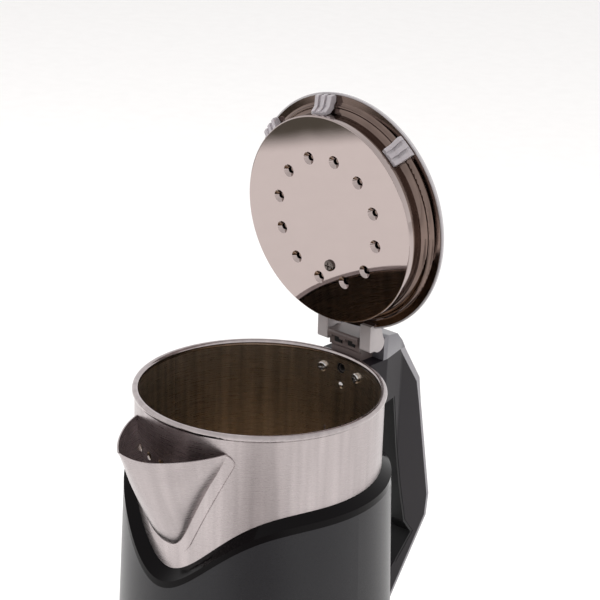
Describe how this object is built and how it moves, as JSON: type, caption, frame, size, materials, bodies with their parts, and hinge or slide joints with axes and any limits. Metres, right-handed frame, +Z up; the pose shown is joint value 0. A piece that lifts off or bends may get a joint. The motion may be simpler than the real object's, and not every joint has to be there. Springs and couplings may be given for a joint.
{
  "type": "electric kettle",
  "caption": "Cordless electric kettle with a steel pot in a plastic shell, pressed pouring beak, faceted loop handle, hinged steel-lined lid and a swivel power base.",
  "frame": {"origin": "centre of the power base's foot ring, on the table", "axes": "+Z up, spout towards -Y, handle and lid hinge towards +Y, X along the lid's hinge pin"},
  "size_m": [0.164, 0.2374, 0.3719],
  "materials": {
    "pot_steel": "brushed outside and inside, rolled rim polished",
    "spout_steel": "fine brushed, pressed",
    "shell_black": "moulded, satin gloss",
    "lip_gloss": "moulded, high gloss",
    "heater_aluminium": "as cast",
    "element_steel": "oxidised tube",
    "control_plastic": "moulded, heat-resistant",
    "bimetal": "rolled strip",
    "screw_steel": "plated",
    "connector_plastic": "moulded, glass-filled",
    "handle_charcoal": "moulded, fine satin",
    "liner_black": "moulded, fine grain",
    "trim_silver": "silver-grey lacquered plastic look, satin",
    "lens_clear": "clear red",
    "lever_black": "moulded, satin gloss",
    "silicone": "translucent white",
    "hinge_grey": "moulded, satin",
    "spring_steel": "drawn wire",
    "lid_grey": "moulded, satin gloss",
    "lid_steel": "drawn, polished",
    "lid_mirror": "mirror polished",
    "clip_milky": "translucent, milky",
    "latch_dark": "moulded",
    "base_black": "moulded, fine grain",
    "foot_rubber": "moulded",
    "contact_brass": "turned",
    "lead_insulation": "silicone sleeve"
  },
  "bodies": {
    "power_base": {"base_top": "base_black", "base_bottom": "base_black", "base_foot_ring": "foot_rubber", "base_screws": "screw_steel", "base_connector": "connector_plastic", "base_contacts": "contact_brass", "cord_inlet": "base_black", "base_leads": "lead_insulation"},
    "connector": {"jug_connector": "connector_plastic"},
    "jug": {"inner_pot": "pot_steel", "spout": "spout_steel", "outer_shell": "shell_black", "shell_lip": "lip_gloss", "heater_plate": "heater_aluminium", "heating_element": "element_steel", "thermostat_control": "control_plastic", "bimetal_discs": "bimetal", "bottom_cover": "shell_black", "bottom_screws": "screw_steel", "handle_grip": "handle_charcoal", "handle_liner": "liner_black", "handle_back": "trim_silver", "indicator_lens": "lens_clear", "lever_pin": "screw_steel", "handle_screws": "screw_steel", "wall_rivet": "screw_steel", "steam_tube": "silicone", "hinge_block": "hinge_grey", "hinge_cap": "trim_silver", "hinge_pin": "screw_steel", "lid_springs": "spring_steel", "button_spring": "spring_steel"},
    "lid": {"lid_cover": "lid_grey", "lid_bracket": "hinge_grey", "lid_pan": "lid_steel", "lid_plate": "lid_mirror", "lid_screw": "screw_steel", "lid_clips": "clip_milky"},
    "button": {"release_button": "trim_silver"},
    "latch": {"lid_latch": "latch_dark"},
    "switch": {"switch_lever": "lever_black"}
  },
  "joints": [
    {"name": "jug_lift", "type": "slide", "parent": "power_base", "child": "connector", "axis": [0, 0, 1], "range_m": [0, 0.1]},
    {"name": "jug_turn", "type": "hinge", "parent": "connector", "child": "jug", "pos_m": [0, 0, 0.03], "axis": [0, 0, 1], "continuous": true},
    {"name": "lid_hinge", "type": "hinge", "parent": "jug", "child": "lid", "pos_m": [0, 0.075, 0.2305], "axis": [1, 0, 0], "range_deg": [0, 85], "stiffness_Nm_per_rad": 0.07, "springref_deg": -63.03},
    {"name": "button_press", "type": "slide", "parent": "jug", "child": "button", "axis": [0, 0, -1], "range_m": [0, 0.002], "stiffness_N_per_m": 300, "springref_m": -0.003},
    {"name": "latch_draw", "type": "slide", "parent": "jug", "child": "latch", "axis": [0, 1, 0], "range_m": [0, 0.0022]},
    {"name": "switch_rock", "type": "hinge", "parent": "jug", "child": "switch", "pos_m": [0, 0.094, 0.054], "axis": [-1, 0, 0], "range_deg": [0, 20]}
  ],
  "couplings": [
    {"joint": "latch_draw", "follows": "button_press", "ratio": 1.1}
  ]
}
